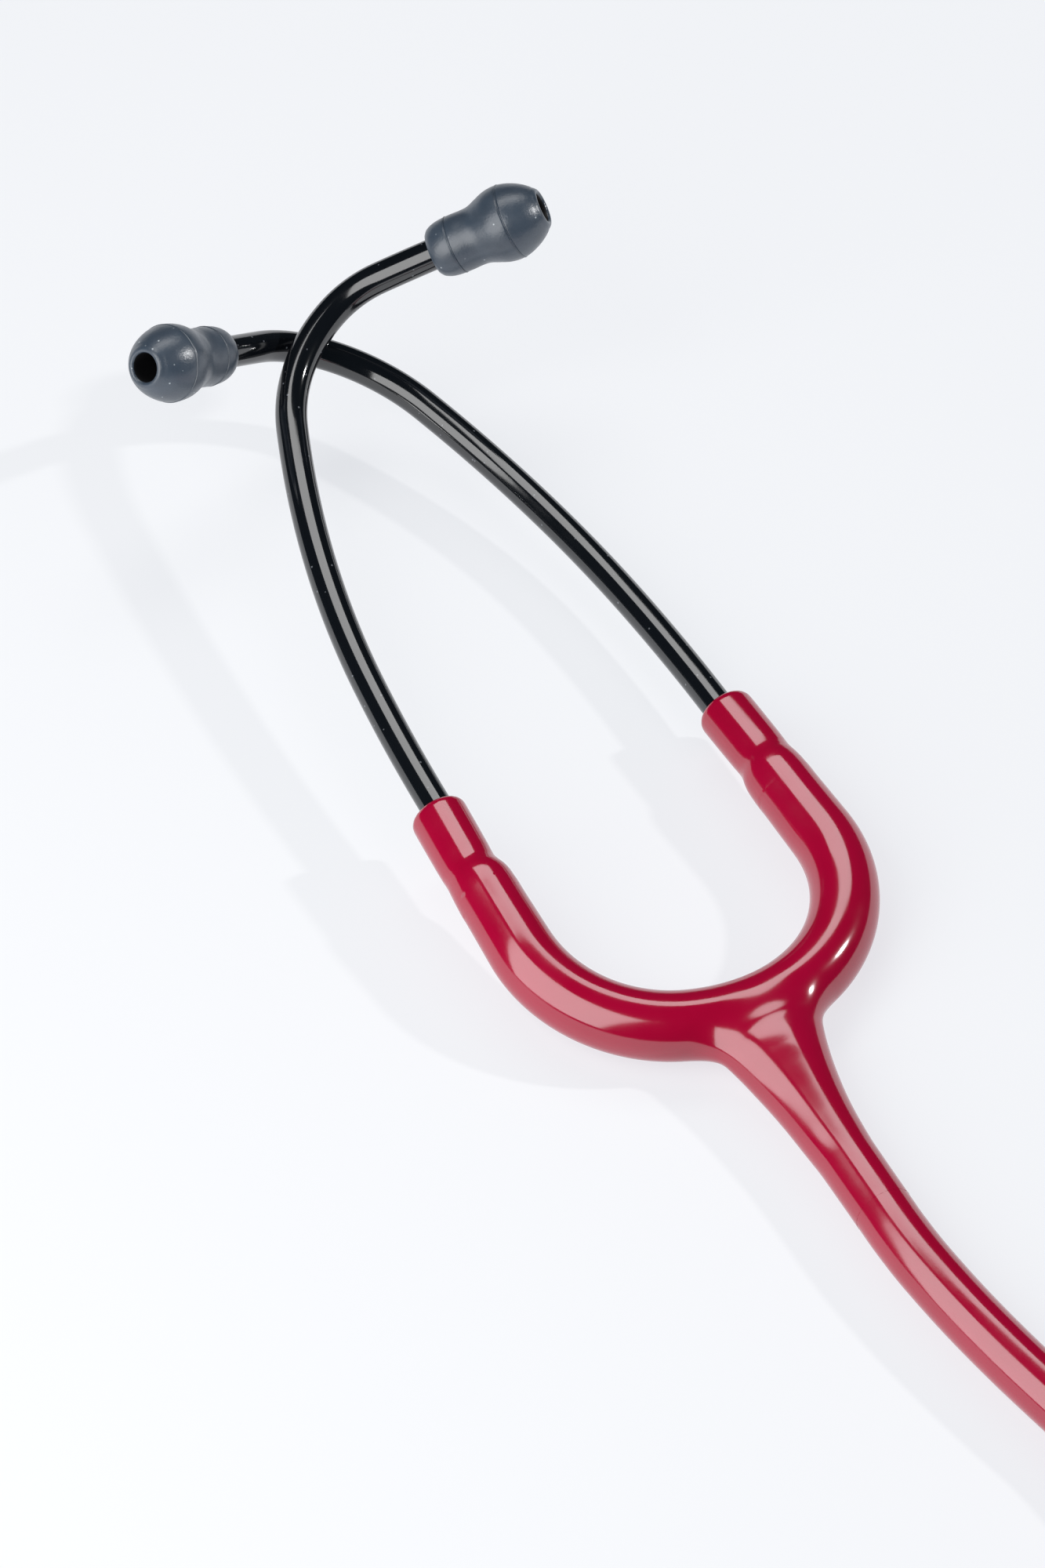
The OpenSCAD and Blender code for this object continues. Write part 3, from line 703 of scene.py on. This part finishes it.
# crimson moulded vinyl: deep colour, high gloss, faint ripple
red, nt, b = material("crimson_vinyl", (0.38, 0.0004, 0.030), 0.13, ior=1.85)
n = noise(nt, 60, 3)
nt.links.new(mixed(nt, ramp(nt, n.outputs["Fac"], 0.3, 0.7, 0, 1), (0.365, 0.0003, 0.027), (0.395, 0.0005, 0.033)), b.inputs["Base Color"])
nt.links.new(ramp(nt, noise(nt, 140, 4).outputs["Fac"], 0.3, 0.7, 0.09, 0.15), b.inputs["Roughness"])
bump(nt, b, [(noise(nt, 260, 2).outputs["Fac"], 0.16, 0.00003), (noise(nt, 45, 2).outputs["Fac"], 0.06, 0.00015)])

# gloss black enamel with a little dust
black, nt, b = material("black_enamel", (0.004, 0.005, 0.007), 0.1, ior=1.85)
dust = specks(nt, 420, 0.10)
nt.links.new(mixed(nt, dust, (0.004, 0.005, 0.007), (0.16, 0.17, 0.19)), b.inputs["Base Color"])
nt.links.new(ramp(nt, noise(nt, 120, 4).outputs["Fac"], 0.3, 0.7, 0.07, 0.13), b.inputs["Roughness"])
bump(nt, b, [(noise(nt, 300, 2).outputs["Fac"], 0.2, 0.00003), (noise(nt, 70, 2).outputs["Fac"], 0.15, 0.00006)])

# soft slate silicone
slate, nt, b = material("slate_silicone", (0.046, 0.064, 0.090), 0.34, ior=1.75)
n = noise(nt, 180, 4)
base = mixed(nt, ramp(nt, n.outputs["Fac"], 0.3, 0.7, 0, 1), (0.040, 0.056, 0.079), (0.052, 0.073, 0.102))
x = node(nt, "ShaderNodeMix", data_type="RGBA")
nt.links.new(base, x.inputs["A"])
x.inputs["B"].default_value = (0.45, 0.50, 0.54, 1)
nt.links.new(specks(nt, 460, 0.10), x.inputs["Factor"])
nt.links.new(x.outputs["Result"], b.inputs["Base Color"])
nt.links.new(ramp(nt, noise(nt, 500, 4).outputs["Fac"], 0.3, 0.7, 0.28, 0.38), b.inputs["Roughness"])
bump(nt, b, [(noise(nt, 3000, 3).outputs["Fac"], 0.45, 0.00009), (noise(nt, 160, 2).outputs["Fac"], 0.2, 0.0001)])

# satin steel, with fine noise in its roughness and surface
steel, nt, b = material("turned_steel", (0.72, 0.72, 0.73), 0.2, metal=1.0)
n = noise(nt, 900, 4)
nt.links.new(ramp(nt, n.outputs["Fac"], 0.3, 0.7, 0.14, 0.28), b.inputs["Roughness"])
bump(nt, b, [(noise(nt, 2200, 2).outputs["Fac"], 0.15, 0.00002)])
spring, nt, b = material("spring_steel", (0.45, 0.45, 0.46), 0.35, metal=1.0)
nt.links.new(ramp(nt, noise(nt, 700, 4).outputs["Fac"], 0.3, 0.7, 0.25, 0.45), b.inputs["Roughness"])

rubber, nt, b = material("rim_rubber", (0.012, 0.012, 0.014), 0.45, ior=1.45)
nt.links.new(ramp(nt, noise(nt, 400, 4).outputs["Fac"], 0.3, 0.7, 0.36, 0.52), b.inputs["Roughness"])
bump(nt, b, [(noise(nt, 1800, 3).outputs["Fac"], 0.3, 0.00005)])
film, nt, b = material("film", (0.70, 0.69, 0.64), 0.25, ior=1.5)
nt.links.new(mixed(nt, ramp(nt, noise(nt, 90, 3).outputs["Fac"], 0.3, 0.7, 0, 1), (0.68, 0.67, 0.62), (0.74, 0.73, 0.68)), b.inputs["Base Color"])
nt.links.new(ramp(nt, noise(nt, 300, 3).outputs["Fac"], 0.3, 0.7, 0.2, 0.32), b.inputs["Roughness"])
bump(nt, b, [(noise(nt, 1500, 3).outputs["Fac"], 0.2, 0.00003)])
dark, nt, b = material("dark_plastic", (0.02, 0.02, 0.022), 0.4)
bump(nt, b, [(noise(nt, 900, 3).outputs["Fac"], 0.3, 0.00004)])
# painted shade: the near-black material for the ear tips' sound-hole walls, standing in for the shade inside the hole
bore, nt, b = material("bore_painted_shade", (0.004, 0.004, 0.005), 0.55)
bump(nt, b, [(noise(nt, 1200, 3).outputs["Fac"], 0.3, 0.00004)])


def paint(ob, mat):
    ob.data.materials.clear()
    ob.data.materials.append(mat)


for ob in (web, left_leg, right_leg, tube):
    paint(ob, red)
for ob in (left_tube, right_tube):
    paint(ob, black)
for ob in (left_tip, right_tip):
    paint(ob, slate)
    # the sound-hole wall faces get the near-black painted shade
    ob.data.materials.append(bore)
    ob.data.polygons.foreach_set("material_index", PAINTED_SHADE_BORE_FACES)
for ob in (left_leaf, right_leaf):
    paint(ob, spring)
for ob in (chest_body, chest_boss, stem_body):
    paint(ob, steel)
for ob in (adult_ring, small_ring):
    paint(ob, rubber)
for ob in (film_a, film_p):
    paint(ob, film)
for name, mat in (("left_tip_plug", dark), ("right_tip_plug", dark), ("left_spring_clamp", spring), ("right_spring_clamp", spring),
                  ("left_clamp_rivets", spring), ("right_clamp_rivets", spring), ("stem_orings", rubber), ("retaining_ring", spring),
                  ("detent_ball", spring), ("detent_spring", spring), ("detent_screw", spring)):
    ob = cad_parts[name]
    for i in range(len(ob.data.materials)):
        ob.material_slots[i].material = mat


# ---- pale floor and soft studio light: two soft boxes, and a small lamp from the right
floor = mesh_object("floor", [(-6, -6, -0.0003), (6, -6, -0.0003), (6, 6, -0.0003), (-6, 6, -0.0003)], [(0, 1, 2, 3)], smooth=False)
floor_mat, nt, b = material("floor_white", (0.255, 0.252, 0.246), 0.75, spec=0.05)
b.inputs["Emission Color"].default_value = (0.926, 0.950, 1.0, 1)
b.inputs["Emission Strength"].default_value = 0.718
paint(floor, floor_mat)


def softbox(name, azimuth, elevation, distance, width, height, radiance, roll=0.0, tilt_x=0.0, tilt_y=0.0, colour=(1, 1, 1)):
    """A rectangular light: azimuth from +X and elevation in degrees, distances in metres, from a point in the headset."""
    az, el, roll, tx, ty = map(math.radians, (azimuth, elevation, roll, tilt_x, tilt_y))
    d = np.array([math.cos(el) * math.cos(az), math.cos(el) * math.sin(az), math.sin(el)])
    x = np.array([-math.sin(az), math.cos(az), 0.0])
    y = np.cross(d, x)
    n = d + x * math.tan(tx) + y * math.tan(ty)
    n /= np.linalg.norm(n)
    x = x - n * (x @ n)
    x /= np.linalg.norm(x)
    y = np.cross(n, x)
    x, y = x * math.cos(roll) + y * math.sin(roll), -x * math.sin(roll) + y * math.cos(roll)
    data = bpy.data.lights.new(name, "AREA")
    data.shape = "RECTANGLE"
    data.size, data.size_y = width, height
    data.energy = radiance * math.pi * width * height
    data.color = colour
    ob = bpy.data.objects.new(name, data)
    at = row((0, -20, 10)) + d * distance
    ob.matrix_world = Matrix(((x[0], y[0], n[0], at[0]), (x[1], y[1], n[1], at[1]), (x[2], y[2], n[2], at[2]), (0, 0, 0, 1)))
    scene.collection.objects.link(ob)
    return ob


softbox("overhead_box", 68.5, 56.8, 0.837, 0.69, 0.30, 3.0, 21.5, 0.0, 33.2)
softbox("left_box", 192.0, 36.5, 0.500, 0.520, 0.630, 3.1, 2.0, -6.0, 1.8)
softbox("right_lamp", 340, 35, 1.5, 0.045, 0.07, 1000.0)
world = bpy.data.worlds.new("world")
scene.world = world
world.use_nodes = True
world.node_tree.nodes["Background"].inputs["Color"].default_value = (0.55, 0.8, 1, 1)
world.node_tree.nodes["Background"].inputs["Strength"].default_value = 0.025
scene.view_settings.view_transform = "Standard"
scene.view_settings.look = "None"


# ---- bodies
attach(web, "yoke")
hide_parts("yoke_tubing")
for ob, leaf, side in ((left_leg, left_leaf, -1), (right_leg, right_leaf, 1)):
    a = row((14.5 * side, -56, 8))
    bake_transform(ob)
    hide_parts("yoke_tubing")
    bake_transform(leaf)
    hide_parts("spring_leaf")
for ob, body, cad, slot in (
    (tube, "yoke", "main_tube", "red_tubing"),
    (left_tube, "left_tube", "left_ear_tube", "ear_tube"),
    (right_tube, "right_tube", "right_ear_tube", "ear_tube"),
    (left_tip, "left_tip", "left_ear_tip", "ear_tip"),
    (right_tip, "right_tip", "right_ear_tip", "ear_tip"),
    (stem_body, "yoke", "chestpiece_stem", "polished_metal"),
    (chest_body, "chestpiece", "chestpiece_body", "polished_metal"),
    (chest_boss, "chestpiece", "chestpiece_body", "polished_metal"),
    (adult_ring, "chestpiece", "adult_rim", "rim_rubber"),
    (small_ring, "chestpiece", "pediatric_rim", "rim_rubber"),
    (film_a, "chestpiece", "adult_diaphragm", "diaphragm"),
    (film_p, "chestpiece", "pediatric_diaphragm", "diaphragm"),
):
    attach(ob, body)
    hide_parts(cad)
